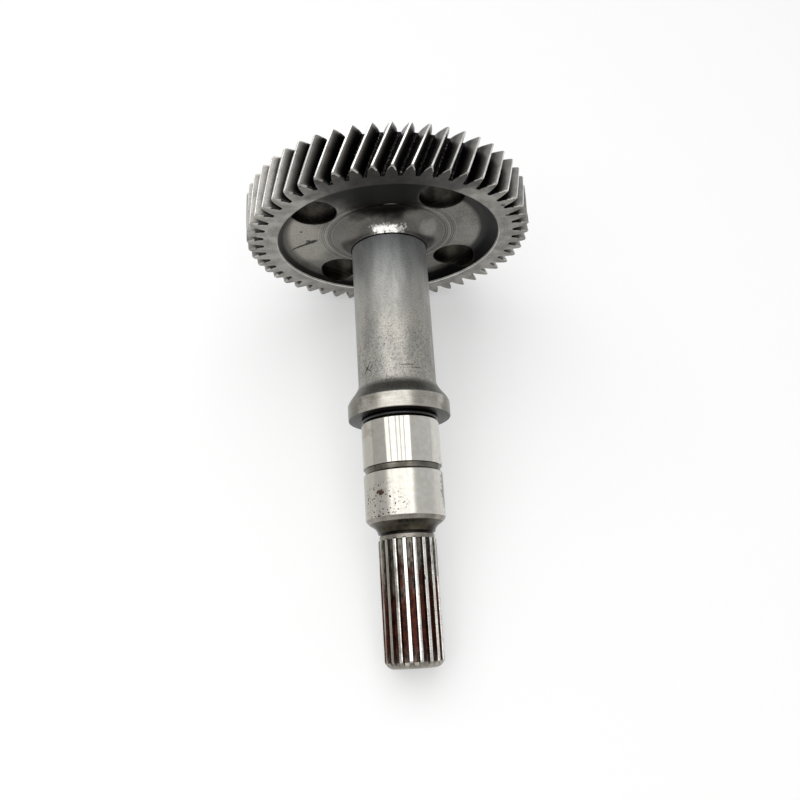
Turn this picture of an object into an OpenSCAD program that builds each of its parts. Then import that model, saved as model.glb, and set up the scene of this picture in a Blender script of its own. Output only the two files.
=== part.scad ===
// Transmission input shaft with an integral helical gear.
// One steel forging: gear rim, dished web, hub, long tube, collar, two ground seats, splined end.
// A thin sealing ring lies in the undercut below the collar.
//
// The shaft is drawn along +Z with the front face of the gear at z = 0 and the spline above it.
// It is then laid down as it rests: on two teeth of the gear and on the lower end of the spline.
// Origin: centre of the resting part's box, on the floor. +Z is up, the spline points to -Y.

/* [Gear] */
// number of teeth
gear_teeth = 51; // [50:1:56]
// module measured square to the teeth
normal_module = 2.63; // [2.58:0.01:2.8]
// helix angle at the reference circle, right hand
helix_angle = 23.3; // [20:0.1:28]
// pressure angle square to the teeth
pressure_angle = 20; // [18:0.5:22.5]
// tooth height above the reference circle, in modules
addendum = 1.51; // [1:0.01:1.6]
// tooth depth below the reference circle, in modules
dedendum = 1.76; // [1.25:0.01:1.8]
// width of the gear rim
face_width = 24; // [18:0.5:30]
// chamfer on the tooth ends, measured along the shaft
tooth_chamfer = 0.7; // [0.3:0.1:1.2]

/* [Web] */
// radius of the front recess at its edge
recess_r = 61; // [58:0.5:62]
// depth of the front recess
recess_depth = 5; // [3:0.5:7]
// depth of the rear recess
back_recess_depth = 5; // [4:0.5:7]
// number of lightening holes
web_holes = 4; // [3:1:6]
// diameter of each lightening hole
web_hole_d = 23.2; // [16:0.2:24]
// radius of the circle that the holes lie on
web_hole_circle_r = 47.4; // [46:0.1:48]

/* [Shaft] */
// diameter of the long tube
tube_d = 40.6; // [38:0.2:42]
// diameter of the collar that the bearing is pushed against
collar_d = 52.8; // [51.6:0.2:56]
// width of the collar
collar_w = 7.5; // [6:0.5:9]
// diameter of the two ground seats
seat_d = 40; // [38:0.1:42]
// length of the seat beside the collar
seat_1_len = 23.1; // [18:0.1:28]
// length of the seat beside the spline
seat_2_len = 22.1; // [18:0.1:28]
// diameter of the rear stub seat
rear_seat_d = 35; // [30:0.5:36]
// length of the rear stub seat
rear_seat_len = 18; // [12:0.5:22]

/* [Spline] */
// number of spline teeth
spline_teeth = 18; // [14:1:20]
// outside diameter of the spline
spline_d = 28.8; // [27:0.1:30]
// depth of the gaps
spline_depth = 1.9; // [1.2:0.1:2.2]
// length of the spline
spline_len = 60.2; // [40:0.1:70]

/* [Sealing ring] */
// thickness of the ring's round section
ring_section = 2; // [1.6:0.1:2.2]

/* [View] */
// which piece to draw

/* [Hidden] */
$fn = 96;
steel = [0.52, 0.49, 0.45];
black_rubber = [0.05, 0.05, 0.05];
gear_points = 5;       // points along each tooth flank
gear_slices = 4;       // slices along the helix

// Gear tooth sizes in the plane across the shaft
ref_r = normal_module*gear_teeth/(2*cos(helix_angle));
side_pressure = atan(tan(pressure_angle)/cos(helix_angle));
base_r = ref_r*cos(side_pressure);
tip_r = ref_r + addendum*normal_module;
root_r = ref_r - dedendum*normal_module;
pitch = 360/gear_teeth;
helix_turn = face_width*tan(helix_angle)/ref_r*180/PI;
rim_r = min(recess_r + 5, root_r - 0.5);   // rim and toothed ring overlap below this

// Stations along the shaft
hub_z = 4.5;                          // end of the hub fillet
hub_fillet_r = 11;
hub_foot_r = tube_d/2 + hub_fillet_r + 0.6;
flare_z = 82.7;                       // the tube starts to flare
collar_z = 93.4;
undercut_z = collar_z + collar_w;
undercut_w = 2.8;
undercut_r = 17.8;
seat_1_z = undercut_z + undercut_w;
groove_z = seat_1_z + seat_1_len;
groove_w = 3.7;
seat_2_z = groove_z + groove_w;
seat_2_end = seat_2_z + seat_2_len;
spline_z = seat_2_end + 10.5;
spline_end = spline_z + spline_len;
round_z = spline_end - 3.8;           // the spline's end starts to round off
rear_hub_r = 24;
rear_hub_z = -face_width - 2;
rear_end = rear_hub_z - rear_seat_len - 2;

// Resting pose: two tips straddle the lowest point, the spline's end touches as well
tilt = atan((tip_r*cos(pitch/2) - spline_d/2)/(round_z + tooth_chamfer));
lift = tip_r*cos(pitch/2)*cos(tilt) - tooth_chamfer*sin(tilt);
reach_back = max(face_width*cos(tilt) + tip_r*sin(tilt),
                 -rear_end*cos(tilt) + (rear_seat_d/2 - 1)*sin(tilt));
front_y = max(spline_end*cos(tilt) + 10.8*sin(tilt), round_z*cos(tilt) + spline_d/2*sin(tilt));
shift_y = (front_y - reach_back)/2;
hole_angle = -34.6;
spline_phase = 88.8;

// Involute angle in degrees for a point at radius r
function inv_angle(r) = let(a = acos(min(1, base_r/r))) tan(a)*180/PI - a;
// Half the tooth's angle at radius r
function half_tooth(r) = 90/gear_teeth + inv_angle(ref_r) - inv_angle(max(r, base_r));
function polar(r, a) = [r*cos(a), r*sin(a)];

// One tooth, from the bottom of the gap before it to the root after it
function tooth_points(c) = concat(
    [polar(root_r, c - pitch/2)],
    [for (i = [0 : gear_points - 1])
        let(r = root_r + (tip_r - root_r)*i/(gear_points - 1)) polar(r, c - half_tooth(r))],
    [for (i = [gear_points - 1 : -1 : 0])
        let(r = root_r + (tip_r - root_r)*i/(gear_points - 1)) polar(r, c + half_tooth(r))]);

module gear_outline() {
    polygon([for (k = [0 : gear_teeth - 1]) each tooth_points(90 + pitch*(k + 0.5))]);
}

// Toothed ring: right-hand helix, with a gap at 90 degrees on the front face
module toothed_ring() {
    color(steel)
    intersection() {
        translate([0, 0, -face_width]) rotate([0, 0, -helix_turn])
            linear_extrude(height = face_width, twist = -helix_turn, slices = gear_slices)
                difference() {
                    gear_outline();
                    circle(r = rim_r - 2, $fn = 60);
                }
        // cone-ended envelope that chamfers the tooth ends
        rotate_extrude()
            polygon([[recess_r - 4, 0], [tip_r - tooth_chamfer - 0.2, 0],
                     [tip_r + 0.5, -tooth_chamfer*2],
                     [tip_r + 0.5, -face_width + tooth_chamfer*2],
                     [tip_r - tooth_chamfer - 0.2, -face_width], [recess_r - 4, -face_width]]);
    }
}

// Section through rim, dished web and hub: front from the axis outwards, then the back inwards
module body_section() {
    back = -face_width + back_recess_depth;
    difference() {
        polygon([
            // front: tube, hub block, three fine turning steps, web, recess wall, rim
            [0, hub_z + 4], [tube_d/2, hub_z + 4], [tube_d/2, hub_z], [hub_foot_r, hub_z],
            [hub_foot_r, -recess_depth], [33.2, -recess_depth], [33.5, -recess_depth + 0.2],
            [33.9, -recess_depth + 0.2], [34.2, -recess_depth], [53.4, -recess_depth],
            [54.6, -recess_depth + 0.15], [55.6, -recess_depth + 0.6], [56.6, -recess_depth + 1.3],
            [recess_r - 0.8, -0.9], [recess_r - 0.25, -0.12], [recess_r, 0], [rim_r, 0],
            // back: rim, recess wall, web, rear hub
            [rim_r, -face_width], [recess_r, -face_width],
            [recess_r - 0.8, -face_width + 0.9], [57, back - 1.8], [55.6, back - 0.7],
            [54.4, back - 0.15], [53, back], [32.5, back - 0.2], [30, back - 1], [28, back - 2.3],
            [26.6, back - 3.6], [25.6, back - 4.8], [25.1, back - 5.8], [rear_hub_r, rear_hub_z],
            [0, rear_hub_z]]);
        // true arc of the fillet that joins hub and tube
        intersection() {
            translate([hub_foot_r, -recess_depth + hub_fillet_r]) circle(r = hub_fillet_r);
            translate([tube_d/2, -recess_depth])
                square([hub_foot_r - tube_d/2, hub_z + recess_depth]);
        }
    }
}

// Rim, dished web and hub as one turned shape
module turned_body() {
    color(steel)
    difference() {
        rotate_extrude() body_section();
        // lightening holes, which run out into the foot of the recess walls
        for (k = [0 : web_holes - 1]) rotate([0, 0, hole_angle + 360*k/web_holes])
            translate([web_hole_circle_r, 0, -face_width - 1])
                cylinder(d = web_hole_d, h = face_width + 2);
    }
}

// Rear stub seat with its relief groove, chamfer and lathe centre
module rear_stub() {
    color(steel)
    rotate_extrude()
        polygon([[0, -face_width + 6], [18, -face_width + 6], [18, rear_hub_z],
                 [rear_seat_d/2 - 0.4, rear_hub_z], [rear_seat_d/2 - 0.4, rear_hub_z - 2],
                 [rear_seat_d/2, rear_hub_z - 2.4], [rear_seat_d/2, rear_end + 1.2],
                 [rear_seat_d/2 - 1.2, rear_end], [5, rear_end], [2, rear_end + 5.2],
                 [2, rear_end + 9], [0, rear_end + 10]]);
}

// Tube, flare, collar, undercut, seats, neck and the blank of the spline
module turned_shaft() {
    r = seat_d/2;
    color(steel)
    rotate_extrude()
        polygon([[0, 0], [tube_d/2, 0], [tube_d/2, flare_z], [21.1, flare_z + 2.3],
                 [22.3, flare_z + 4.4], [23.8, flare_z + 6.5], [25.4, flare_z + 8.6],
                 [collar_d/2 - 0.4, collar_z], [collar_d/2, collar_z + 0.5],
                 [collar_d/2, undercut_z - 0.5], [collar_d/2 - 0.5, undercut_z],
                 [undercut_r, undercut_z], [undercut_r, seat_1_z - 0.3],
                 [r - 0.3, seat_1_z], [r, seat_1_z + 0.4], [r, groove_z], [r - 1, groove_z + 0.4],
                 [r - 1, groove_z + groove_w - 1], [r, groove_z + groove_w],
                 [r, seat_2_end], [r - 0.8, seat_2_end + 1.2], [18, seat_2_end + 2.3],
                 [15.8, seat_2_end + 3.7], [14.7, seat_2_end + 5.2], [14.2, seat_2_end + 6.9],
                 [13.2, seat_2_end + 7.2], [13.2, seat_2_end + 8], [13.7, seat_2_end + 8.4],
                 [13.7, spline_z - 0.6], [spline_d/2, spline_z], [spline_d/2, round_z],
                 [spline_d/2 - 0.8, round_z + 1.6], [12.2, round_z + 3],
                 [10.8, spline_end], [5, spline_end], [2, spline_end - 5.2],
                 [2, spline_end - 9], [0, spline_end - 10]]);
}

// Straight-sided gap of the spline, open at the end of the shaft
module spline_gap() {
    root = spline_d/2 - spline_depth;
    step = 360/spline_teeth;
    translate([0, 0, spline_z])
        linear_extrude(height = spline_len + 1)
            polygon([polar(root, -0.26*step), polar(spline_d/2 + 0.6, -0.34*step),
                     polar(spline_d/2 + 0.6, 0.34*step), polar(root, 0.26*step)]);
}

module splined_shaft() {
    color(steel)
    difference() {
        turned_shaft();
        for (k = [0 : spline_teeth - 1])
            rotate([0, 0, spline_phase + 360*k/spline_teeth]) spline_gap();
    }
}

module gear_shaft() {
    color(steel)
    union() {
        toothed_ring();
        turned_body();
        rear_stub();
        splined_shaft();
    }
}

// Round-section ring lying in the undercut, against the collar
module sealing_ring() {
    color(black_rubber)
    translate([0, 0, undercut_z + ring_section/2 + 0.05])
        rotate_extrude()
            translate([undercut_r + ring_section/2 - 0.02, 0]) circle(d = ring_section);
}

// Lays the upright part down into its resting pose
module laid_down() {
    translate([0, shift_y, lift]) rotate([90 + tilt, 0, 0]) rotate([0, 0, 180]) children();
}

laid_down() gear_shaft();
laid_down() sealing_ring();
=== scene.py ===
# %% [markdown]
# # A transmission input shaft
# The object is one steel forging: a gear with slanting teeth, a dished web with four round holes,
# a long tube, a collar, two ground bearing seats and a splined end. A thin black ring lies in the
# groove under the collar. Nothing moves, so every piece rides on the one body, `root`.
#
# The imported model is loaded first. It fixes the size and the place of everything that follows.

# %% Load the fixed frame
import math

import bmesh
import bpy
import numpy as np
from mathutils import Matrix, Vector


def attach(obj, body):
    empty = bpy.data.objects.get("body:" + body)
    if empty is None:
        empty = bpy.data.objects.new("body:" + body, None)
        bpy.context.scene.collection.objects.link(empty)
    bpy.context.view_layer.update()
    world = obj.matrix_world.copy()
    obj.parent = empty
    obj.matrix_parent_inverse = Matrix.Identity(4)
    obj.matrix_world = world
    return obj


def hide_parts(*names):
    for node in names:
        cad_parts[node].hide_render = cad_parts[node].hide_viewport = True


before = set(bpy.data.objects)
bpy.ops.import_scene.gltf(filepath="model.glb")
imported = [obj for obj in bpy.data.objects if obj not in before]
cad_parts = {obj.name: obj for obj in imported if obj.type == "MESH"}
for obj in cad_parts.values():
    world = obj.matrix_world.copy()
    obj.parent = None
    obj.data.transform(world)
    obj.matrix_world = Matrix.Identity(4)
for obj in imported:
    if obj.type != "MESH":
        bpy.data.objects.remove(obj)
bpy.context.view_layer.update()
print("nodes:", list(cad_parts))

# %% [markdown]
# ## The shaft's own axes
# The part rests tilted, on two teeth and on the end of its spline, but every shape on it was turned
# or cut about its own axis. So each surface is worked out upright, in millimetres, with z along the
# shaft and z = 0 at the gear's front face. One function then lays the finished points down and turns
# them to metres. It is a plain rotation and a shift, done to a whole array at once.

# %% Lay points down
GEAR_TEETH, NORMAL_MODULE, HELIX, PRESSURE = 51, 2.63, math.radians(23.3), math.radians(20)
FACE_WIDTH, TOOTH_CHAMFER = 24.0, 0.7
REF_R = NORMAL_MODULE * GEAR_TEETH / (2 * math.cos(HELIX))
TIP_R, ROOT_R = REF_R + 1.51 * NORMAL_MODULE, REF_R - 1.76 * NORMAL_MODULE
SPLINE_R, SPLINE_END, SPLINE_END_R = 14.4, 223.3, 10.8
STUB_END, STUB_END_R = 46, 16.5
ROUND_START = SPLINE_END - 3.8
# The part touches the floor with two tooth tips and with the spline, where its end starts to round.
low_tip = TIP_R * math.cos(math.pi / GEAR_TEETH)
TILT = math.atan((low_tip - SPLINE_R) / (ROUND_START + TOOTH_CHAMFER))
LIFT = low_tip * math.cos(TILT) - TOOTH_CHAMFER * math.sin(TILT)
reach_back = STUB_END * math.cos(TILT) + STUB_END_R * math.sin(TILT)
reach_front = ROUND_START * math.cos(TILT) + SPLINE_R * math.sin(TILT)
reach_front = max(reach_front, SPLINE_END * math.cos(TILT) + SPLINE_END_R * math.sin(TILT))
GEAR_CENTRE = np.array([0.0, (reach_front - reach_back) / 2, LIFT])
AXES = np.array([[-1, 0, 0],
                 [0, math.sin(TILT), -math.cos(TILT)],
                 [0, -math.cos(TILT), -math.sin(TILT)]])


def laid_down(points):
    """Upright millimetres to resting metres: each point is centre + x·X + y·Y + z·Z."""
    return (GEAR_CENTRE + points @ AXES) / 1000


print(f"tilt {math.degrees(TILT):.2f} degrees, gear centre {GEAR_CENTRE.round(2)} mm")

# %% [markdown]
# ## Camera
# The photograph looks down on the shaft from just past its splined end. The place and the turn come
# from matching the gear's 51 teeth, so the lens is the photograph's own: about 37 mm.

# %% Camera
camera_data = bpy.data.cameras.new("camera")
camera_data.lens, camera_data.sensor_width = 37.03, 36.0
camera_data.clip_start, camera_data.clip_end = 0.01, 20
camera = bpy.data.objects.new("camera", camera_data)
camera.location = (-0.01953, -0.23074, 0.41091)
camera.rotation_euler = [math.radians(a) for a in (32.347, -0.786, -3.859)]
bpy.context.scene.collection.objects.link(camera)
bpy.context.scene.camera = camera
bpy.context.scene.view_settings.view_transform = "Standard"
print(f"camera at {tuple(round(v, 3) for v in camera.location)} m, lens {camera_data.lens:.1f} mm")

# %% [markdown]
# ## Surfaces as grids
# A turned part is a profile swept round an axis, and a gear is an outline swept along it. Both are
# grids of points with two parameters. So the pieces share four small helpers: one sweeps a profile
# round, one makes the faces of a grid, one joins the grids of a piece into a closed mesh, and one
# rounds the corners of a profile.

# %% Grid helpers
def turned(profile, columns):
    """Rows of the profile (r, z) times columns of the angle: x = r·cos a, y = r·sin a."""
    profile = np.asarray(profile, float)
    r, z = profile[:, :1], profile[:, 1:]
    return np.stack([r * np.cos(columns), r * np.sin(columns), z + 0 * columns], axis=-1)


def grid_faces(rows, columns):
    """Four corners for each cell: (i, j), (i, j+1), (i+1, j+1), (i+1, j), with j closed round."""
    i = np.arange(rows - 1)[:, None]
    j = np.arange(columns)[None, :]
    k = (j + 1) % columns
    return np.stack([i * columns + j, i * columns + k, (i + 1) * columns + k,
                     (i + 1) * columns + j], axis=-1).reshape(-1, 4)


# %% Join the grids of a piece
def joined(name, grids, materials, sharp):
    """One closed mesh from grids: each is (points, slot), one slot for all faces or one for each.

    Equal points are merged, normals are turned outwards, and edges over sharp degrees stay crisp.
    """
    points, faces, slots, start = [], [], [], 0
    for grid, slot in grids:
        cells = grid_faces(grid.shape[0], grid.shape[1])
        points.append(grid.reshape(-1, 3))
        faces.append(cells + start)
        slots.append(np.full(len(cells), slot) if np.isscalar(slot) else slot)
        start += grid.shape[0] * grid.shape[1]
    points, faces, slots = np.vstack(points), np.vstack(faces), np.concatenate(slots)
    mesh = bpy.data.meshes.new(name)
    mesh.from_pydata(laid_down(points).tolist(), [], faces.tolist())
    for material in materials:
        mesh.materials.append(material)
    mesh.polygons.foreach_set("material_index", slots.astype(np.int32))
    work = bmesh.new()
    work.from_mesh(mesh)
    bmesh.ops.remove_doubles(work, verts=work.verts, dist=2e-6)
    bmesh.ops.dissolve_degenerate(work, edges=work.edges, dist=1e-7)
    bmesh.ops.recalc_face_normals(work, faces=work.faces)
    open_edges = sum(not edge.is_manifold for edge in work.edges)
    work.to_mesh(mesh)
    work.free()
    mesh.polygons.foreach_set("use_smooth", np.ones(len(mesh.polygons), bool))
    mesh.set_sharp_from_angle(angle=math.radians(sharp))
    piece = bpy.data.objects.new(name, mesh)
    bpy.context.scene.collection.objects.link(piece)
    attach(piece, "root")
    print(f"{name}: {len(mesh.polygons)} faces, {open_edges} open edges")
    return piece


# %% Round a profile's corners
def rounded(corners, radii, steps=5):
    """A profile with soft corners: (1-t)^2·start + 2t(1-t)·corner + t^2·end, for t from 0 to 1."""
    out = []
    for before, corner, after, radius in zip(corners, corners[1:], corners[2:], radii):
        a, b, c = (np.array(p, float) for p in (before, corner, after))
        if radius <= 0:
            out.append(b)
            continue
        start = b + (a - b) / np.linalg.norm(a - b) * radius
        end = b + (c - b) / np.linalg.norm(c - b) * radius
        t = np.linspace(0, 1, steps)[:, None]
        out.extend((1 - t) ** 2 * start + 2 * t * (1 - t) * b + t ** 2 * end)
    return np.array([corners[0], *out, corners[-1]], float)


# %% [markdown]
# ## Steel finishes
# All of it is one case-hardening steel, but each area was made another way, and that is what the
# eye reads: ground seats mirror, turned faces are satin with fine rings, the web and tube keep the
# dull skin of shot blasting, painted shade darkens the tooth gaps, and rust sits in the spline.
# Steel is metallic 1, so its colour is its reflection.
#
# An image would give these looks too, but it would stretch and need a layout. Patterns worked out
# from the place on the shaft need neither. A Mapping node turns Object coordinates back upright, in
# millimetres, so a pattern's scale is one over a real size.

# %% Colour and node helpers
def linear(code):
    """sRGB hex to linear: c/12.92 up to 0.04045, and ((c + 0.055)/1.055)^2.4 above it."""
    values = [int(code[i:i + 2], 16) / 255 for i in (1, 3, 5)]
    return (*[v / 12.92 if v <= 0.04045 else ((v + 0.055) / 1.055) ** 2.4 for v in values], 1.0)


def add(tree, kind, inputs=(), out=0, **settings):
    """Adds a node with its settings. Inputs are named, or in the order of the node's sockets."""
    node = tree.nodes.new("ShaderNode" + kind)
    for key, value in settings.items():
        setattr(node, key, value)
    shown = [socket for socket in node.inputs if socket.enabled]
    if isinstance(inputs, dict):
        named = {socket.name: socket for socket in shown}
        pairs = [(named[key], value) for key, value in inputs.items()]
    else:
        pairs = zip(shown, inputs)
    for socket, value in pairs:
        if isinstance(value, bpy.types.NodeSocket):
            tree.links.new(value, socket)
        else:
            socket.default_value = value
    given = [socket for socket in node.outputs if socket.enabled]
    return node.outputs[out] if out else given[0] if given else None


# %% Start and finish of a material
def started(name):
    """A new material, its node tree, and the place on the upright shaft in millimetres."""
    material = bpy.data.materials.new(name)
    material.use_nodes = True
    tree = material.node_tree
    tree.nodes.clear()
    where = add(tree, "Mapping", {
        "Vector": add(tree, "TexCoord", out="Object"), "Location": (GEAR_CENTRE / 1000).tolist(),
        "Rotation": Matrix(AXES.T.tolist()).to_euler("XYZ")[:], "Scale": (0.001,) * 3},
        vector_type="TEXTURE")
    return material, tree, where


def from_axis(tree, where):
    """Distance from the shaft's axis in millimetres: the length of (x, y, 0)."""
    flat = add(tree, "VectorMath", [where, (1, 1, 0)], operation="MULTIPLY")
    return add(tree, "VectorMath", [flat], operation="LENGTH")


def finished(tree, colour, roughness, height=None, depth_mm=0.0, metallic=1.0):
    """Adds the shader: a height of 0 to 1 stands for depth_mm of relief."""
    inputs = {"Base Color": colour, "Roughness": roughness, "Metallic": metallic}
    if height:
        inputs["Normal"] = add(tree, "Bump", {"Height": height, "Distance": depth_mm / 1000})
    add(tree, "OutputMaterial", {"Surface": add(tree, "BsdfPrincipled", inputs)})


# %% Marks on the steel
def spot(tree, where, centre, halves, turn=0.0, ragged=0.3, tilt=0.0):
    """A mask: 1 inside an ellipsoid of these half-lengths in mm, fading over a ragged edge.

    The ellipsoid is first tilted about x and then turned about the shaft's axis z.
    """
    own = add(tree, "Mapping", {"Vector": where, "Location": centre, "Rotation": (tilt, 0, turn),
                                "Scale": halves}, vector_type="TEXTURE")
    size = add(tree, "VectorMath", [own], operation="LENGTH")
    wander = add(tree, "TexNoise", [where, 1.4 / min(halves[:2]), 3])
    edge = add(tree, "MapRange", [wander, 0.3, 0.7, -ragged, ragged])
    whole = add(tree, "Math", [size, edge], operation="ADD")
    return add(tree, "MapRange", [whole, 0.7, 1.2, 1, 0], interpolation_type="SMOOTHSTEP")


def layered(tree, colour, layers):
    """Lays tints over a colour in turn: each layer is (mask, strength, sRGB hex)."""
    for mask, strength, tint in layers:
        amount = add(tree, "Math", [mask, strength], operation="MULTIPLY")
        colour = add(tree, "Mix", [amount, colour, linear(tint)], data_type="RGBA")
    return colour


def marked(tree, where, colour, marks):
    """Paints marks on a colour: each is (centre, half-lengths, turn, strength, sRGB hex)."""
    return layered(tree, colour, [(spot(tree, where, centre, halves, turn), strength, tint)
                                  for centre, halves, turn, strength, tint in marks])


# %% [markdown]
# ### Turned steel
# A lathe or cutter leaves fine grooves across its path. Noise in one dimension, read along the
# profile, gives rings of uneven depth, which a Wave texture would make too regular. The finishes
# below differ in tint, ring width and roughness, and each follows from how its area was made.

# %% Turned steel
def turned_steel(name, light, dark, ring_mm=0.5, roughness=0.3, depth_mm=0.012, cloud=1.0, marks=()):
    """Clouds between two tints, darker grains, and rings that are ring_mm wide.

    A larger cloud gives softer clouds, and depth_mm is the depth of the rings.
    """
    material, tree, where = started(name)
    along = add(tree, "SeparateXYZ", [where], out="Z")
    across = add(tree, "Math", [from_axis(tree, where), along], operation="ADD")
    rings = add(tree, "TexNoise", [across, 1 / ring_mm, 2], noise_dimensions="1D")
    clouds = add(tree, "TexNoise", [where, 1 / 7, 4])
    grain = add(tree, "TexNoise", [where, 1 / 0.8, 3])
    shade = add(tree, "MapRange", [clouds, 0.5 - 0.16 / cloud, 0.5 + 0.16 / cloud])
    colour = add(tree, "Mix", [shade, linear(dark), linear(light)], data_type="RGBA")
    colour = layered(tree, colour, [
        (add(tree, "MapRange", [grain, 0.56, 0.75]), 0.45, "#35322e"),
        (add(tree, "MapRange", [rings, 0.55, 0.7]), 0.25, "#4a4741")])
    rough = add(tree, "MapRange", [rings, 0.3, 0.7, roughness - 0.05, roughness + 0.07])
    finished(tree, marked(tree, where, colour, marks), rough, rings, depth_mm)
    print(f"{name}: rings {ring_mm} mm wide, roughness about {roughness}")
    return material


# %% Gear finishes
# Faced by a lathe: a satin grey with a painted dark reflection over its upper part, painted shade on
# its right side, two stains and two dents.
rim_face = turned_steel("turned_rim_steel", "#a3a09a", "#84817c", 0.5, 0.34, cloud=1.3, marks=[
    ((-4, -68, 0), (60, 22, 9), 0, 0.78, "#1f1f1f"), ((-66, -20, 0), (14, 36, 9), 0, 0.18, "#2a2a29"),
    ((27, -68, 0), (3.4, 1.6, 3), 0.3, 0.15, "#968a76"), ((36.4, -58.8, 0), (2, 1, 3), 0.3, 0.2, "#968a76"),
    ((-58.1, -36.7, 0), (1.2, 0.9, 2), 0, 0.9, "#161513"),
    ((-62.4, -26.2, 0), (1.5, 1.0, 2), 0, 0.9, "#161513")])
# A sharp turned edge that hands have polished: a thin bright line round the dish.
lip_bright = turned_steel("turned_lip_steel", "#f2f0ec", "#dcdad5", 0.5, 0.28, 0.004)
# Tooth tips rubbed bright on the mating gear: white lines between dark gaps.
tip_bright = turned_steel("worn_tip_steel", "#f8f7f4", "#d3d1cc", 0.8, 0.24, 0.004)
# Deburred tooth ends, a little duller than the tips.
chamfer_satin = turned_steel("worn_chamfer_steel", "#bdbab4", "#8f8c86", 0.8, 0.3, 0.004)
# Drilled: nearly black inside, which is painted shade in the holes, with ribs that a drill leaves and
# one paler patch.
hole_bore = turned_steel("drilled_bore_steel", "#2d2a25", "#131210", 0.7, 0.34, 0.04, marks=[
    ((39, -27, -12), (9, 9, 9), 0, 0.55, "#5f5744")])

# %% Collar, groove and neck finishes
# Turned fine: a soft bright band in the middle, brown oil at the top edge, and painted shade
# darkening both sides.
collar_satin = turned_steel("satin_collar_steel", "#b1aea6", "#918d85", 0.35, 0.29, marks=[
    ((12, -23.5, 94), (13, 5, 2.2), 0, 0.3, "#5a4f3e"), ((27, -4, 99), (9, 22, 12), 0, 0.65, "#4f4b42"),
    ((-27, -4, 99), (8, 22, 12), 0, 0.6, "#4f4b42")])
# Plain turned bevels: even grey.
bevel_grey = turned_steel("turned_bevel_steel", "#98948c", "#6c6860")
# Ground but unseen in the photograph, so it is plain and soft.
rear_seat = turned_steel("ground_rear_steel", "#bfbcb4", "#a39f96", 0.35, 0.24)
# A turned neck under old oil: dark bronze that still glints.
neck_brown = turned_steel("oiled_neck_steel", "#575145", "#2c2922", 0.5, 0.24, 0.02)
# The floor of the groove between the seats: coarser rings, half filled with dirt.
groove_grey = turned_steel("turned_groove_steel", "#77746c", "#48453e", 0.6, 0.28, 0.02)
# Undercuts and the crease at the tube's root, painted nearly black as painted shade, so they read as
# black lines.
crease_shade = turned_steel("crease_shade_steel", "#24221f", "#100f0e", 0.6, 0.3)

# %% Spline finishes
# Lands polished by their hub: white on top, with painted shade that greys them on the left and on the
# right near the neck, two nicks and rusty edges.
land_polished = turned_steel("polished_land_steel", "#efede8", "#c6c3bd", 0.6, 0.19, 0.004, marks=[
    ((13, -8, 190), (8.5, 9, 60), 0, 0.75, "#6b675d"), ((-13, -5, 172), (4, 7, 13), 0, 0.6, "#605c53"),
    ((-6.3, -13, 182.2), (0.9, 1.2, 1.3), 0, 0.9, "#14110f"),
    ((-9.6, -10.7, 183.6), (0.9, 1.2, 1.6), 0, 0.9, "#14110f"),
    ((-12.5, -7, 191), (1.1, 2, 9), 0, 0.8, "#6b3c24"), ((-12.4, -7, 208), (1.1, 2, 8), 0, 0.8, "#5c2e1b"),
    ((13, -6, 186), (1.6, 3, 8), 0, 0.7, "#5f3322"), ((13, -6, 214), (1.6, 3, 7), 0, 0.7, "#5f3322")])
# A faced end: dull grey.
end_dull = turned_steel("faced_end_steel", "#a29e95", "#6f6b63", 0.5, 0.33)
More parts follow.
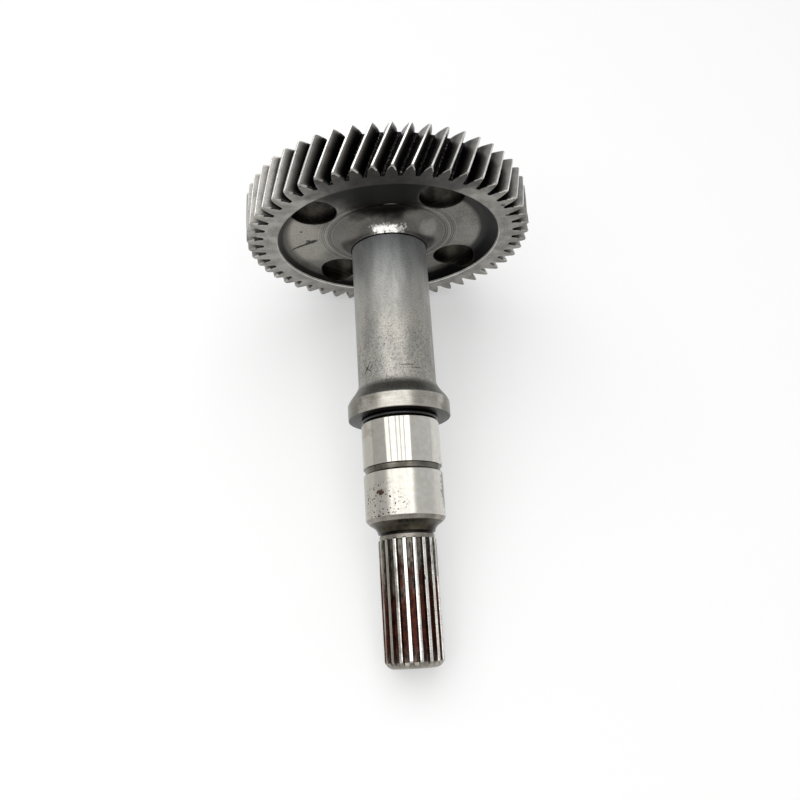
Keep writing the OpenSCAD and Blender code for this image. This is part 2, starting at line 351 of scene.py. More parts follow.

# %% [markdown]
# ### Web and hub
# The web is a shot-blasted forging skin, skimmed by the lathe towards the hub. Both are one
# material, because the change between them is gradual: the distance from the axis mixes them.
# Painted dark reflections cover its upper part, painted shade darkens the wall of the dish, painted
# light reflections brighten its two sides and a painted highlight lies on the hub, and a tool has
# left a gouge.

# %% Web and hub
def web_finish():
    """Grit specks on clouds, rings round the base of the hub, a smoother hub, and painted shade,
    reflections and highlights.
    """
    material, tree, where = started("blasted_web_steel")
    radius = from_axis(tree, where)
    side = add(tree, "SeparateXYZ", [where], out="X")
    grit = add(tree, "TexNoise", [where, 1 / 0.8, 3])
    clouds = add(tree, "TexNoise", [where, 1 / 12, 4])
    rings = add(tree, "TexNoise", [radius, 1 / 0.9, 1], noise_dimensions="1D")
    shade = add(tree, "MapRange", [clouds, 0.35, 0.65])
    colour = add(tree, "Mix", [shade, linear("#686661"), linear("#827f79")], data_type="RGBA")
    near_hub = add(tree, "MapRange", [radius, 38, 31], interpolation_type="SMOOTHSTEP")
    ring_in = add(tree, "MapRange", [radius, 30, 33])
    ring_out = add(tree, "MapRange", [radius, 40, 36])
    ring_zone = add(tree, "Math", [ring_in, ring_out], operation="MULTIPLY")
    ring_low = add(tree, "Math", [ring_zone, add(tree, "MapRange", [rings, 0.46, 0.38])],
                   operation="MULTIPLY")
    ring_high = add(tree, "Math", [ring_zone, add(tree, "MapRange", [rings, 0.54, 0.62])],
                    operation="MULTIPLY")
    # A painted highlight on the hub's fillet, and painted shade where the web meets its wall.
    fillet_highlight = spot(tree, where, (0.8, -20.4, 1), (8.8, 1.9, 4.5), 0, 0.4)
    wall_foot_shade = add(tree, "Math", [add(tree, "MapRange", [radius, 53, 56]),
                              add(tree, "MapRange", [side, -15, 45, 1, 0.6])], operation="MULTIPLY")
    wall_pool_shade = add(tree, "Math", [add(tree, "MapRange", [radius, 49.5, 52]),
                              add(tree, "MapRange", [side, -22, -38])], operation="MULTIPLY")
    # Painted light reflections on the web's two sides, a painted highlight on the right of the fillet,
    # painted dark reflections over the web's upper part and the top of the hub, and painted shade down the
    # wall of the dish.
    colour = layered(tree, colour, [
        (spot(tree, where, (49, 5, -5), (21, 24, 9), 0, 0.15), 0.85, "#a19e95"),
        (spot(tree, where, (-44, 2, -5), (9, 14, 9), 0, 0.15), 0.4, "#9b9993"),
        (add(tree, "MapRange", [grit, 0.42, 0.3]), 0.4, "#b5b1a8"),
        (near_hub, 0.85, "#615e5a"), (ring_high, 0.45, "#aaa7a0"), (ring_low, 0.6, "#2f2d2a"),
        (spot(tree, where, (-20.5, -10, -3), (6.5, 8, 6), 0, 0.2), 0.2, "#bdbab4"),
        (spot(tree, where, (1, -55, -3), (52, 27, 11), 0, 0.12), 0.93, "#0f0f0f"),
        (spot(tree, where, (1, -31, -1), (29, 7.5, 6), 0, 0.12), 0.88, "#0e0a0a"),
        (spot(tree, where, (14, -26, -1), (12, 4.5, 6), 0.6, 0.12), 0.6, "#151212"),
        (fillet_highlight, 0.65, "#e9e6e0"), (add(tree, "MapRange", [grit, 0.55, 0.7]), 0.5, "#2b2926"),
        (wall_pool_shade, 0.92, "#0c0b0b"), (wall_foot_shade, 0.95, "#070707"),
        (add(tree, "MapRange", [radius, 56.8, 58.2]), 0.9, "#090909")])
    # The gouge is two strokes in a line, the inner one wider.
    gouge = spot(tree, where, (47, 7.9, -5), (9.4, 0.9, 2), 0.575)
    gouge = add(tree, "Math", [gouge, spot(tree, where, (42.6, 4.9, -5), (4.6, 1.5, 2), 0.575)],
                operation="MAXIMUM")
    colour = layered(tree, colour, [(gouge, 0.95, "#0c0b0a")])
    colour = marked(tree, where, colour, [
        ((47.3, -7.3, -5), (0.9, 0.8, 2), 0, 0.9, "#15130f"),
        ((44.3, 3.3, -5), (1.4, 0.9, 2), 0, 0.9, "#15130f"),
        ((-0.5, -33.4, -5), (3.6, 0.8, 2), 0, 0.7, "#a8a49c")])
    height = add(tree, "Math", [grit, gouge], operation="SUBTRACT")
    rough = add(tree, "MapRange", [near_hub, 0, 1, 0.4, 0.28])
    rough = add(tree, "Math", [fillet_highlight, -0.06, rough], operation="MULTIPLY_ADD")
    finished(tree, colour, rough, height, 0.014)
    return material


web_skin = web_finish()

# %% [markdown]
# ### Tube
# The tube is a forging skin too: matt, bluer near the hub, and browner and pitted towards the
# collar, with a few handling scratches. The specks are the size of blasting grit.

# %% Tube
def tube_finish():
    """Grit specks that grow darker along the shaft, over a tone that turns from blue to brown."""
    material, tree, where = started("blasted_tube_steel")
    along = add(tree, "SeparateXYZ", [where], out="Z")
    grit = add(tree, "TexNoise", [where, 1 / 0.6, 4, 0.65])
    patches = add(tree, "TexNoise", [where, 1 / 1.1, 3])
    streaks = add(tree, "TexNoise", [add(tree, "VectorMath", [where, (1, 1, 0.3)], operation="MULTIPLY"),
                                     1 / 5, 3])
    tone = add(tree, "MapRange", [along, 4, 46])
    colour = add(tree, "Mix", [tone, linear("#a3a6a7"), linear("#a3a099")], data_type="RGBA")
    # Pits only low on the tube, and a band of painted shade on the front of the flare.
    lower = add(tree, "MapRange", [along, 40, 62])
    pitted = add(tree, "Math", [lower, add(tree, "MapRange", [patches, 0.5, 0.66])], operation="MULTIPLY")
    speck = add(tree, "MapRange", [grit, 0.54, 0.68])
    flare_shade = add(tree, "Math", [add(tree, "MapRange", [along, 84.5, 87.5]),
                               add(tree, "MapRange", [along, 93.5, 92.5])], operation="MULTIPLY")
    side = add(tree, "Math", [add(tree, "SeparateXYZ", [where], out="X")], operation="ABSOLUTE")
    flare_shade = add(tree, "Math", [flare_shade, add(tree, "MapRange", [side, 24, 17, 0.35])], operation="MULTIPLY")
    # The last three layers are scratches that cross. Their turn points their own x out of the
    # tube, so that their thin side lies on its surface.
    colour = layered(tree, colour, [
        (add(tree, "MapRange", [streaks, 0.58, 0.38]), 0.28, "#5f6467"),
        (speck, 0.4, "#34322f"), (add(tree, "MapRange", [grit, 0.42, 0.3]), 0.45, "#bcb9b2"),
        (pitted, 0.4, "#57503f"), (add(tree, "Math", [speck, lower], operation="MULTIPLY"), 0.6, "#2b2722"),
        (flare_shade, 0.7, "#1b1f1e"),
        (spot(tree, where, (15.5, -13.1, 76.8), (1.6, 0.38, 3.2), -0.72, 0.3, -0.71), 0.85, "#221e1a"),
        (spot(tree, where, (14.9, -13.7, 77.4), (1.6, 0.32, 3.4), -0.72, 0.3, 0.9), 0.8, "#221e1a"),
        (spot(tree, where, (13.3, -15.2, 76.6), (1.6, 0.32, 1.8), -0.72, 0.3, -0.6), 0.8, "#221e1a")])
    colour = marked(tree, where, colour, [
        ((-4.5, -19.6, 77.6), (5.5, 3, 0.35), 0, 0.65, "#38332d"),
        ((-9, -18.2, 79), (5, 3, 0.3), 0, 0.6, "#38332d")])
    finished(tree, colour, add(tree, "MapRange", [grit, 0.3, 0.7, 0.4, 0.54]), grit, 0.014)
    return material


tube_skin = tube_finish()

# %% [markdown]
# ### Ground seats
# Grinding leaves a mirror with hair-fine lines round the shaft. The first seat still mirrors the
# window bars above it. The second is duller, and damp has pitted it near its end.

# %% Ground seats
def seat_finish():
    """Lines 0.3 mm apart round the shaft, haze, painted shade, and rust pits about 1 mm wide on the second
    seat.
    """
    material, tree, where = started("ground_seat_steel")
    along = add(tree, "SeparateXYZ", [where], out="Z")
    round_it = add(tree, "VectorMath", [where, (0.02, 0.02, 1)], operation="MULTIPLY")
    lines = add(tree, "TexNoise", [round_it, 1 / 0.3, 3])
    haze = add(tree, "TexNoise", [where, 1 / 3, 4])
    side = add(tree, "SeparateXYZ", [where], out="X")
    # Painted shade: the seats are lighter on the right and darker on the left.
    shade = add(tree, "MapRange", [side, -17, 17])
    colour = add(tree, "Mix", [shade, linear("#d0cdc6"), linear("#aeaaa1")], data_type="RGBA")
    second = add(tree, "MapRange", [along, 126.5, 131.5])
    holes = add(tree, "MapRange", [add(tree, "TexNoise", [where, 1 / 1.1, 2]), 0.6, 0.635])
    pitted = spot(tree, where, (12, -15, 147), (14, 10, 10), 0, 0.25)
    edge_stain = spot(tree, where, (-19.5, -5, 137), (2.4, 5, 11), 0, 0.5)
    pits = add(tree, "Math", [holes, pitted], operation="MULTIPLY")
    rust = spot(tree, where, (12.4, -15.7, 140.9), (2.2, 2, 1.5), 0, 0.5)
    # After the haze comes a darker patch on the first seat's left, which is painted shade.
    colour = layered(tree, colour, [
        (add(tree, "MapRange", [haze, 0.6, 0.4]), 0.16, "#8f8a7e"),
        (spot(tree, where, (19, -6, 108), (6, 8, 5), 0, 0.5), 0.35, "#6a6559"),
        (edge_stain, 0.7, "#2c2a27"), (pits, 0.95, "#12100e"), (rust, 0.9, "#3b1e14")])
    damage = add(tree, "Math", [pits, rust], operation="MAXIMUM")
    fine = add(tree, "MapRange", [lines, 0.3, 0.7, 0.07, 0.13])
    dull = add(tree, "Math", [second, 0.14, fine], operation="MULTIPLY_ADD")
    rough = add(tree, "Math", [damage, 0.4, dull], operation="MULTIPLY_ADD")
    shallow = add(tree, "Math", [lines, 0.12], operation="MULTIPLY")
    finished(tree, colour, rough, add(tree, "Math", [shallow, pits], operation="SUBTRACT"), 0.03)
    return material


seat_ground = seat_finish()

# %% [markdown]
# ### Tooth flanks
# Hobbed flanks are satin. Their tint follows the distance from the axis: painted shade makes them
# black deep in the gaps and lighter towards the tips.

# %% Tooth flanks
def flank_finish():
    """Black at the root, dark to half the tooth's height and grey at its tip, with a rust spot."""
    material, tree, where = started("hobbed_flank_steel")
    radius = from_axis(tree, where)
    grain = add(tree, "TexNoise", [where, 1 / 0.7, 3])
    clouds = add(tree, "TexNoise", [where, 1 / 6, 3])
    middle = (ROOT_R + TIP_R) / 2
    # Painted shade: black at the root, lighter up the flank, grey at the tip.
    low = add(tree, "MapRange", [radius, ROOT_R, middle + 0.5])
    high = add(tree, "MapRange", [radius, middle, TIP_R - 0.8])
    colour = add(tree, "Mix", [low, linear("#0e0e0e"), linear("#3d3c3a")], data_type="RGBA")
    colour = layered(tree, colour, [
        (high, 0.9, "#9a9793"), (add(tree, "MapRange", [clouds, 0.5, 0.7]), 0.3, "#1d1c1b"),
        (add(tree, "MapRange", [grain, 0.42, 0.3]), 0.4, "#8e8b85"),
        (add(tree, "MapRange", [grain, 0.56, 0.7]), 0.4, "#161514")])
    colour = marked(tree, where, colour, [((36.1, -62.3, -18.1), (2.6, 2.6, 2.2), 0, 0.7, "#5a4019")])
    finished(tree, colour, add(tree, "MapRange", [grain, 0.3, 0.7, 0.26, 0.38]), grain, 0.008)
    return material


flank_shaded = flank_finish()

# %% [markdown]
# ### Rusty spline gaps
# The gaps of the spline are clean and grey near the neck. Further down, damp has left red-brown
# rust, which is rougher and less metallic than the steel round it.

# %% Spline gaps
def gap_finish():
    """Rust takes over where the distance along, shifted by a noise 4 mm wide, passes 180 mm."""
    material, tree, where = started("rusty_gap_steel")
    along = add(tree, "SeparateXYZ", [where], out="Z")
    long_way = add(tree, "VectorMath", [where, (1, 1, 0.35)], operation="MULTIPLY")
    patch = add(tree, "MapRange", [add(tree, "TexNoise", [long_way, 1 / 4, 4]), 0.25, 0.75, -18, 18])
    start = add(tree, "MapRange", [add(tree, "Math", [along, patch], operation="ADD"), 172, 188])
    end = add(tree, "MapRange", [along, 223, 213, 0.3, 1])
    rust = add(tree, "Math", [start, end], operation="MULTIPLY")
    grime = add(tree, "TexNoise", [long_way, 1 / 1.1, 4])
    shade = add(tree, "MapRange", [grime, 0.35, 0.65])
    steel = add(tree, "Mix", [shade, linear("#2b2823"), linear("#6f6a60")], data_type="RGBA")
    red = add(tree, "Mix", [shade, linear("#1a0d0a"), linear("#4e2416")], data_type="RGBA")
    colour = add(tree, "Mix", [rust, steel, red], data_type="RGBA")
    finished(tree, colour, add(tree, "MapRange", [rust, 0, 1, 0.34, 0.5]), grime, 0.06, 0.85)
    return material


gap_rusty = gap_finish()
print("materials:", [m.name for m in bpy.data.materials])

# %% [markdown]
# ## Gear rim
# The teeth were hobbed: their flanks are involutes, the curve that a taut string draws as it
# unwinds from a circle. A Boolean or an Array of one tooth would work, but the outline is one
# formula, so the whole rim is a grid: 51 teeth of 21 points each, carried back along the helix.

# %% Tooth outline
SIDE_PRESSURE = math.atan(math.tan(PRESSURE) / math.cos(HELIX))
BASE_R = REF_R * math.cos(SIDE_PRESSURE)
PITCH = 2 * math.pi / GEAR_TEETH


def involute(radius):
    """Angle that an involute has turned at a radius: tan a - a, with cos a = base/radius."""
    a = np.arccos(np.minimum(1, BASE_R / radius))
    return np.tan(a) - a


def half_tooth(radius):
    """Half the tooth's angle: a quarter pitch at the reference circle, less the involute's turn."""
    return PITCH / 4 + involute(REF_R) - involute(radius)


def gear_outline(inset=0.0):
    """All teeth as (radius, angle), moved inwards by inset mm square to the outline."""
    # One tooth from gap to gap: the gap's floor, a small fillet, the flank, the tip, and back.
    flank_r = np.linspace(ROOT_R + 0.5, TIP_R - 0.12, 7)
    flank_a = half_tooth(flank_r)
    tip_a, root_a = half_tooth(TIP_R), half_tooth(ROOT_R)
    r = np.concatenate([[ROOT_R, ROOT_R + 0.03, ROOT_R + 0.18], flank_r, [TIP_R, TIP_R],
                        flank_r[::-1], [ROOT_R + 0.18, ROOT_R + 0.03]])
    left = np.concatenate([[-PITCH / 2, -root_a - 0.30 * (PITCH / 2 - root_a), -root_a + 0.0006],
                           -flank_a, [-tip_a * 0.88]])
    angles = np.concatenate([left, -left[:0:-1]])[:len(r)]
    teeth = math.pi / 2 + PITCH * (np.arange(GEAR_TEETH) + 0.5)
    radius = np.tile(r, GEAR_TEETH)
    angle = (teeth[:, None] + angles[None, :]).ravel()
    if inset:
        x, y = radius * np.cos(angle), radius * np.sin(angle)
        tx, ty = np.roll(x, -1) - np.roll(x, 1), np.roll(y, -1) - np.roll(y, 1)
        size = np.hypot(tx, ty)
        x, y = x - inset * ty / size, y + inset * tx / size
        radius, angle = np.hypot(x, y), angle + np.angle(np.exp(1j * (np.arctan2(y, x) - angle)))
    return radius, angle


outline_r = gear_outline()[0]
print(f"outline: {len(outline_r)} points, tip {TIP_R:.2f} mm, root {ROOT_R:.2f} mm")

# %% Rows of teeth
FACE, TIP, FLANK, CHAMFER, LIP = range(5)
FACE_INSET, INSET_SLOPE, CHAMFER_SLOPE = 0.32, 0.9, 1.15
stations = np.concatenate([[0, -0.25, -TOOTH_CHAMFER], np.linspace(-2.5, -21.5, 10),
                           [-FACE_WIDTH + TOOTH_CHAMFER, -FACE_WIDTH + 0.25, -FACE_WIDTH]])


def rim_row(z):
    """The outline at station z, turned by the helix: smaller near a face, and its tips cut down."""
    depth = min(-z, z + FACE_WIDTH)
    radius, angle = gear_outline(max(0.0, FACE_INSET - depth * INSET_SLOPE))
    radius = np.minimum(radius, TIP_R - max(0.0, TOOTH_CHAMFER - depth) * CHAMFER_SLOPE)
    angle = angle + z * math.tan(HELIX) / REF_R
    return np.stack([radius * np.cos(angle), radius * np.sin(angle), np.full_like(radius, z)], -1)


per_tooth = len(outline_r) // GEAR_TEETH
teeth_grid = np.stack([rim_row(z) for z in stations])
column = np.arange(len(outline_r)) % per_tooth
# Of a tooth's 21 faces, 9 to 11 are its tip, and 6 to 14 are chamfered at the tooth's two ends.
on_tip = (column >= 9) & (column <= 11)
teeth_slots = np.tile(np.where(on_tip, TIP, FLANK), (len(stations) - 1, 1))
teeth_slots[:2] = teeth_slots[-2:] = np.where((column >= 6) & (column <= 14), CHAMFER, FLANK)
print(f"teeth: {len(stations)} rows, {per_tooth} points for each tooth")

# %% Rim faces and lips
RECESS_R = 61.0


def rim_face_grid(z, inner, angles_from):
    """Flat face from the teeth in to the recess: straight lines between the two outlines."""
    edge = rim_row(z)
    a = np.arctan2(angles_from[:, 1], angles_from[:, 0])
    ring = np.stack([inner * np.cos(a), inner * np.sin(a), np.full_like(a, z)], -1)
    t = np.array([0, 0.35, 0.7, 1])[:, None, None]
    return edge * (1 - t) + ring * t


front_face = rim_face_grid(0.0, RECESS_R, rim_row(0.0))
back_face = rim_face_grid(-FACE_WIDTH, RECESS_R, rim_row(-FACE_WIDTH))
front_angles = np.arctan2(front_face[-1, :, 1], front_face[-1, :, 0])
back_angles = np.arctan2(back_face[-1, :, 1], back_face[-1, :, 0])
# Below each lip a hidden wall closes the rim inside the web.
front_lip = turned([(RECESS_R, 0), (60.68, -0.25), (60.2, -0.9), (62.2, -3), (62.2, -8)], front_angles)
back_lip = turned([(62.2, -16), (62.2, -21), (60.2, -23.1), (60.68, -23.75), (RECESS_R, -24)],
                  back_angles)
hidden_wall = np.stack([front_lip[-1], back_lip[0]])
lip_slots = np.repeat([LIP, FACE, FACE, FACE], len(outline_r))
gear_rim = joined("gear_rim", [
    (teeth_grid, teeth_slots.ravel()), (front_face, FACE), (back_face, FACE),
    (front_lip, lip_slots), (back_lip, lip_slots[::-1]), (hidden_wall, FACE)],
    [rim_face, tip_bright, flank_shaded, chamfer_satin, lip_bright], sharp=28)

# %% [markdown]
# ## Web and hub
# Between rim and shaft the forging is dished to save weight and drilled with four holes. A hole in
# a turned surface is easy to cut with a Boolean, but its edge is then hard to round. Here each
# quarter of the web is a grid between the hole's circle and the quarter's border, so the rounded
# edge and the hole's wall are only more rows of the same grid.

# %% Web profiles
SKIN, BORE = range(2)
HOLE_R, HOLE_EDGE, HOLE_CIRCLE, HOLE_ANGLE = 11.6, 0.55, 47.4, math.radians(-34.6)
WEB_IN, WEB_OUT = 34.5, 60.2
front_profile = np.array([(34.5, -5), (53.4, -5), (54.6, -4.85), (55.6, -4.4), (56.6, -3.7),
                          (60.2, -0.9)])
back_profile = np.array([(34.5, -19.0), (53.0, -19.0), (54.4, -19.15), (55.6, -19.7), (57, -20.8),
                         (60.2, -23.1)])


def web_height(x, y, profile):
    """Height of the dished web at (x, y): the profile read at that distance from the axis."""
    return np.interp(np.hypot(x, y), profile[:, 0], profile[:, 1])


# %% Border of a web quarter
QUARTER = 96
turn = np.arange(4 * QUARTER) * 2 * math.pi / (4 * QUARTER) + HOLE_ANGLE + math.pi / 4
# The border runs along the outer arc, one straight side, the inner arc and the other side.
side_steps = np.linspace(0, 1, 17)[1:-1]
half = np.linspace(-math.pi / 4, math.pi / 4, QUARTER + 1)
border = np.concatenate([
    np.stack([WEB_OUT * np.cos(half), WEB_OUT * np.sin(half)], -1),
    np.outer(WEB_OUT + (WEB_IN - WEB_OUT) * side_steps, [math.cos(math.pi / 4), math.sin(math.pi / 4)]),
    np.stack([WEB_IN * np.cos(half[::-1]), WEB_IN * np.sin(half[::-1])], -1),
    np.outer(WEB_IN + (WEB_OUT - WEB_IN) * side_steps, [math.cos(math.pi / 4), -math.sin(math.pi / 4)])])
border_step = np.linalg.norm(np.roll(border, -1, axis=0) - border, axis=1)
along_border = np.concatenate([[0], np.cumsum(border_step)[:-1]]) / border_step.sum()
# A border point's angle round the hole is its share of the border's length. The rows between hole
# and border lie closer together at the hole.
around = 2 * math.pi * (along_border - along_border[QUARTER] / 2)
steps = np.linspace(0, 1, 12) ** 1.15
print(f"border: {len(border)} points, {border_step.sum():.1f} mm round")


# %% One quarter of the web
def web_quarter(middle):
    """Front surface, rounded edge, hole wall and back surface of one quarter, as one grid."""
    hole = np.stack([np.cos(around), np.sin(around)], -1)

    def face(profile, t):
        flat = (1 - t) * ((HOLE_R + HOLE_EDGE) * hole + [HOLE_CIRCLE, 0]) + t * border
        return np.column_stack([flat, web_height(flat[:, 0], flat[:, 1], profile)])

    def wall(radius, profile, inwards):
        flat = radius * hole + [HOLE_CIRCLE, 0]
        rim = (HOLE_R + HOLE_EDGE) * hole + [HOLE_CIRCLE, 0]
        return np.column_stack([flat, web_height(rim[:, 0], rim[:, 1], profile) + inwards])

    # Between face and hole wall, two rows lie on a quarter circle that rounds the edge.
    rows = [face(front_profile, t) for t in steps[::-1]]
    rows += [wall(HOLE_R + 0.38, front_profile, -0.06), wall(HOLE_R + 0.16, front_profile, -0.22),
             wall(HOLE_R, front_profile, -HOLE_EDGE), wall(HOLE_R, back_profile, HOLE_EDGE),
             wall(HOLE_R + 0.16, back_profile, 0.22), wall(HOLE_R + 0.38, back_profile, 0.06)]
    rows += [face(back_profile, t) for t in steps]
    rows = np.stack(rows)
    c, s = math.cos(middle), math.sin(middle)
    return np.stack([rows[..., 0] * c - rows[..., 1] * s, rows[..., 0] * s + rows[..., 1] * c,
                     rows[..., 2]], -1)


quarters = [web_quarter(HOLE_ANGLE + k * math.pi / 2) for k in range(4)]
wall_rows = np.zeros(quarters[0].shape[0] - 1, int)
wall_rows[len(steps) - 1:-len(steps) + 1] = BORE
quarter_slots = np.repeat(wall_rows, quarters[0].shape[1])
print(f"web quarter: {quarters[0].shape[0]} rows of {quarters[0].shape[1]} points")

# %% Hub profiles
# Three fine steps left by the lathe lie round the hub, then a hollow curve runs up to the tube.
hub_curve = [(31.9 - 11 * math.cos(a), 6 - 11 * math.sin(a)) for a in np.radians(np.linspace(88, 9, 20))]
hub_front = [(34.5, -5), (34.2, -4.95), (33.9, -4.78), (33.5, -4.78), (33.2, -4.95), *hub_curve,
             (20.95, 4.5), (20.75, 4.55), (20.4, 4.3), (19, 3), (0, 3)]
hub_back = [(34.5, -19), (32.5, -19.2), (30, -20), (28, -21.3), (26.6, -22.6), (25.6, -23.8),
            (25.1, -24.8), (24.7, -25.5), (24.4, -25.8), (24, -26), (17.8, -26), (17.1, -26),
            (16.5, -24), (0, -24)]
rim_front = [(60.2, -0.9), (61.5, -2.4), (61.9, -8)]
rim_back = [(61.9, -16), (61.5, -21.6), (60.2, -23.1)]
# The step at the tube's root takes the holes' nearly black finish: painted shade in that crease.
hub_front_slots = np.repeat([SKIN] * (len(hub_front) - 5) + [BORE] * 4, len(turn))
gear_web = joined("gear_web", [*[(quarter, quarter_slots) for quarter in quarters],
                               (turned(hub_front, turn), hub_front_slots),
                               (turned(hub_back, turn), SKIN),
                               (turned(rim_front + rim_back, turn), SKIN)],
                  [web_skin, hole_bore], sharp=30)

# %% [markdown]
# ## Tube, collar and ground seats
# All of this was turned between centres, so it is one profile swept round. Corners are rounded by
# fractions of a millimetre, because it is those small arcs that catch the light.

# %% Shaft profile
# Each corner is (radius, place along the shaft, size of its arc) in millimetres.
shaft_corners = [
    (0, 2, 0), (20.3, 2, 0), (20.3, 82.7, 1.5), (21.1, 85, 1), (22.3, 87.1, 1), (23.8, 89.2, 1),
    (25.4, 91.3, 1), (26.4, 93.2, 0.6), (26.4, 100.9, 0.45), (17.8, 100.9, 0.2), (17.8, 103.6, 0.3),
    (19.7, 103.7, 0), (20, 104.1, 0.1), (20, 126.8, 0.12), (19, 127.1, 0.1), (19, 129.5, 0.3),
    (20, 130.5, 0.15), (20, 152.6, 0.3), (19.2, 153.8, 0.3), (18, 154.9, 0.5), (15.8, 156.3, 0.8),
    (14.7, 157.8, 0.6), (14.2, 159.5, 0.1), (13.2, 159.8, 0), (13.2, 160.6, 0), (13.7, 161, 0.1),
    (13.7, 163.1, 0), (0, 163.1, 0)]
shaft_profile = rounded([(r, z) for r, z, _ in shaft_corners], [k for _, _, k in shaft_corners[1:-1]])
# Long straight stretches get rows of their own, so that faces stay near square.
straight_rows = np.column_stack([np.full(24, 20.3), np.linspace(5, 79, 24)])
at = int(np.argmax(shaft_profile[:, 1] > 5))
shaft_profile = np.vstack([shaft_profile[:at], straight_rows, shaft_profile[at:]])
print(f"shaft profile: {len(shaft_profile)} points")

# %% Turned shaft
TUBE, COLLAR, SEAT, NECK, GROOVE, CREASE_SHADE, BEVEL = range(7)


def shaft_zone(z, r):
    """Which finish a ring of faces has, from its place along the shaft."""
    if 126.85 < z < 130.3 and r < 19.6:
        return GROOVE
    # Undercuts and the tube's root take a nearly black finish that paints their shade.
    for end, zone in [(4.6, CREASE_SHADE), (93.0, TUBE), (100.89, COLLAR), (103.7, CREASE_SHADE), (152.7, SEAT),
                      (154.7, BEVEL), (159.55, NECK), (160.7, CREASE_SHADE)]:
        if z < end:
            return zone
    return BEVEL


middle_z = (shaft_profile[1:, 1] + shaft_profile[:-1, 1]) / 2
middle_r = (shaft_profile[1:, 0] + shaft_profile[:-1, 0]) / 2
SHAFT_COLUMNS = 224
shaft_turn = np.arange(SHAFT_COLUMNS) * 2 * math.pi / SHAFT_COLUMNS
shaft_slots = np.repeat([shaft_zone(z, r) for z, r in zip(middle_z, middle_r)], len(shaft_turn))
turned_shaft = joined("turned_shaft", [(turned(shaft_profile, shaft_turn), shaft_slots)],
                      [tube_skin, collar_satin, seat_ground, neck_brown, groove_grey, crease_shade,
                       bevel_grey], sharp=26)

# %% [markdown]
# ## Spline
# Eighteen straight teeth carry the clutch hub. Their outline is constant along the shaft, so it is
# swept straight, with a rounded end. The first rows lie inside the neck, which hides where they start.

# %% Spline outline
# Angles run over one step: across the floor of a gap, up its side, and over the land.
LAND, GAP, END = range(3)
SPLINE_ROOT, SPLINE_TEETH, SPLINE_PHASE = SPLINE_R - 1.9, 18, math.radians(88.8)
step_angle = 2 * math.pi / SPLINE_TEETH
gap_a = np.array([-0.26, -0.12, 0, 0.12, 0.26]) * step_angle
land_a = np.array([0.325, 0.34, 0.37, 0.45, 0.5, 0.55, 0.63, 0.66, 0.675]) * step_angle
one_r = np.array([SPLINE_ROOT + 0.12, SPLINE_ROOT, SPLINE_ROOT, SPLINE_ROOT, SPLINE_ROOT + 0.12,
                  SPLINE_R - 0.3, SPLINE_R - 0.08, *[SPLINE_R] * 5, SPLINE_R - 0.08, SPLINE_R - 0.3])
one_a = np.concatenate([gap_a, land_a])
spline_r = np.tile(one_r, SPLINE_TEETH)
spline_a = (SPLINE_PHASE + step_angle * np.arange(SPLINE_TEETH)[:, None] + one_a[None, :]).ravel()
print(f"spline: {SPLINE_TEETH} teeth, {len(one_r)} points each, root {SPLINE_ROOT:.1f} mm")

# %% Spline grid
# Each row is (place along the shaft, limit): the outline reaches no further out than the limit.
spline_rows = [(158, 0), (158, 13.0), (162.3, 13.3), (162.6, 13.75), (163.1, 14.3), (163.35, 14.4),
               *[(z, 14.4) for z in np.linspace(168, 215, 14)], (219.5, 14.4), (220.4, 14.15),
               (221.2, 13.6), (221.9, 13.0), (222.6, 12.2), (223.0, 11.5), (223.3, 10.8),
               (223.3, 5), (218.1, 2), (214.5, 2), (213.5, 0)]
spline_grid = np.stack([np.stack([np.minimum(spline_r, limit) * np.cos(spline_a),
                                  np.minimum(spline_r, limit) * np.sin(spline_a),
                                  np.full_like(spline_r, z)], -1) for z, limit in spline_rows])
kind = np.arange(len(spline_r)) % len(one_r)
# Of a step's 14 faces, 0 to 5 and the last are a gap's floor and sides. The last nine bands of
# faces are the rounded end, its flat face and the lathe centre.
in_gap = (kind <= 5) | (kind == 13)
spline_slots = np.tile(np.where(in_gap, GAP, LAND), (len(spline_rows) - 1, 1))
spline_slots[-9:] = END
splined_end = joined("splined_end", [(spline_grid, spline_slots.ravel())],
                     [land_polished, gap_rusty, end_dull], sharp=30)

# %% [markdown]
# ## Rear seat
# Behind the gear, out of the photograph's sight, a short ground stub carries the rear bearing, as
# on any shaft of this kind. It is plain, with a relief groove, a chamfer and a lathe centre.

# %% Rear stub
GROUND, SATIN = range(2)
STUB_COLUMNS = 160
stub_turn = np.arange(STUB_COLUMNS) * 2 * math.pi / STUB_COLUMNS
stub_profile = rounded([(0, -22), (17.1, -22), (17.1, -28), (17.5, -28.1), (17.5, -44.8), (16.3, -46),
                        (5, -46), (2, -40.8), (2, -37), (0, -36)], [0, 0.1, 0.05, 0.25, 0.25, 0.3, 0, 0])
stub_mid = (stub_profile[1:, 1] + stub_profile[:-1, 1]) / 2
on_seat = (stub_mid < -28) & (stub_mid > -44.9)
stub_slots = np.repeat(np.where(on_seat, GROUND, SATIN), STUB_COLUMNS)
rear_stub = joined("rear_stub", [(turned(stub_profile, stub_turn), stub_slots)],
                   [rear_seat, collar_satin], sharp=26)

# %% Hide the imported shaft, which the steel pieces replace
for piece in (gear_rim, gear_web, turned_shaft, splined_end, rear_stub):
    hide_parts("gear_shaft")

# %% [markdown]
# ## Sealing ring
# The ring is nitrile rubber, moulded and wet with oil, so it is black and glossy. It is a torus: a
# small circle swept round a large one.

# %% Ring
def ring_finish():
    """Black with faint lighter clouds 2 mm wide, glossy where it is wet."""
    material, tree, where = started("oiled_nitrile")
    clouds = add(tree, "TexNoise", [where, 1 / 2, 3])
    colour = add(tree, "Mix", [clouds, linear("#080808"), linear("#1b1a19")], data_type="RGBA")
    finished(tree, colour, add(tree, "MapRange", [clouds, 0.35, 0.65, 0.1, 0.3]), metallic=0.0)
    return material


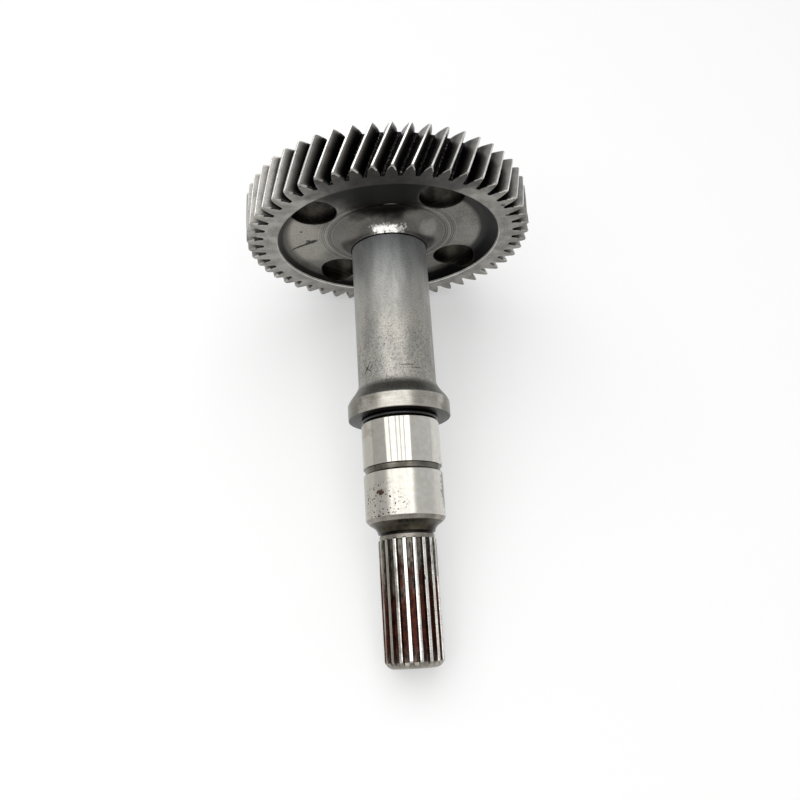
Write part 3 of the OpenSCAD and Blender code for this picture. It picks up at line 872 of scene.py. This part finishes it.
RING_R, RING_Z, SECTION_POINTS = 18.78, 101.95, 20
small = np.arange(SECTION_POINTS) * 2 * math.pi / SECTION_POINTS
ring_profile = np.column_stack([RING_R + np.cos(small), RING_Z + np.sin(small)])
ring_profile = np.vstack([ring_profile, ring_profile[:1]])
sealing_ring = joined("rubber_ring", [(turned(ring_profile, shaft_turn), 0)], [ring_finish()],
                      sharp=32)
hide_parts("sealing_ring")

# %% [markdown]
# ## Floor and light
# The photograph has an overexposed white worktop under a window. The floor is one plane of white
# paint with some white of its own for what the camera and the metal see, so that its shadows stay
# as pale as in the photograph. The light is a skylight of five panes, with a pale world round it.

# %% Floor
floor_mesh = bpy.data.meshes.new("floor")
floor_mesh.from_pydata([(-3, -3, 0), (3, -3, 0), (3, 3, 0), (-3, 3, 0)], [], [(0, 1, 2, 3)])
floor = bpy.data.objects.new("floor", floor_mesh)
bpy.context.scene.collection.objects.link(floor)
FLOOR_GLOW = 0.35


def looked_at(tree):
    """1 for rays that the camera or polished metal sends out, and 0 for all others."""
    camera_ray = add(tree, "LightPath", out="Is Camera Ray")
    glossy_ray = camera_ray.node.outputs["Is Glossy Ray"]
    return add(tree, "Math", [camera_ray, glossy_ray], operation="MAXIMUM")


paint = bpy.data.materials.new("matt_white_paint")
paint.use_nodes = True
paint.node_tree.nodes.clear()
matt = add(paint.node_tree, "BsdfPrincipled", {"Base Color": linear("#f8f8f7"), "Roughness": 0.75})
share = add(paint.node_tree, "Math", [looked_at(paint.node_tree), FLOOR_GLOW], operation="MULTIPLY")
white = add(paint.node_tree, "Emission", {"Strength": 1.0})
mixed = add(paint.node_tree, "MixShader", [share, matt, white])
add(paint.node_tree, "OutputMaterial", {"Surface": mixed})
floor_mesh.materials.append(paint)
print(f"floor: {FLOOR_GLOW:.0%} of what is looked at is its own white")

# %% Skylight
def soft_lamp(name, place, target, size, watts):
    """An area lamp at place, turned to face target."""
    data = bpy.data.lights.new(name, "AREA")
    data.shape, data.size, data.size_y, data.energy = "RECTANGLE", size[0], size[1], watts
    lamp = bpy.data.objects.new(name, data)
    lamp.location = place
    lamp.rotation_euler = (Vector(target) - Vector(place)).to_track_quat("-Z", "Y").to_euler()
    bpy.context.scene.collection.objects.link(lamp)


# Five panes of one skylight: their bars leave the thin dark lines on the first ground seat.
PANES = [(-1.36, -0.91), (-0.82, -0.38), (-0.31, -0.115), (-0.05, 0.145), (0.21, 0.60)]
PANE_Y, PANE_HEIGHT, PANE_LENGTH, RADIANCE = 0.05, 1.35, 2.4, 1.7
for number, (left, right) in enumerate(PANES):
    middle, width = (left + right) / 2, right - left
    # An even lamp sends out pi times its radiance times its area.
    watts = RADIANCE * math.pi * width * PANE_LENGTH
    soft_lamp(f"pane_{number}", (middle, PANE_Y, PANE_HEIGHT), (middle, PANE_Y, 0),
              (width, PANE_LENGTH), watts)
    print(f"pane {number}: {width:.3f} m wide, {watts:.2f} W")

# %% Pale room
world = bpy.data.worlds.new("pale_room")
world.use_nodes = True
world.node_tree.nodes.clear()
# The room lights the part with 0.55 and shows itself with 0.85.
glow = add(world.node_tree, "MapRange", [looked_at(world.node_tree), 0, 1, 0.55, 0.85])
sky = add(world.node_tree, "Background", {"Color": linear("#f2f3f4"), "Strength": glow})
add(world.node_tree, "OutputWorld", {"Surface": sky})
bpy.context.scene.world = world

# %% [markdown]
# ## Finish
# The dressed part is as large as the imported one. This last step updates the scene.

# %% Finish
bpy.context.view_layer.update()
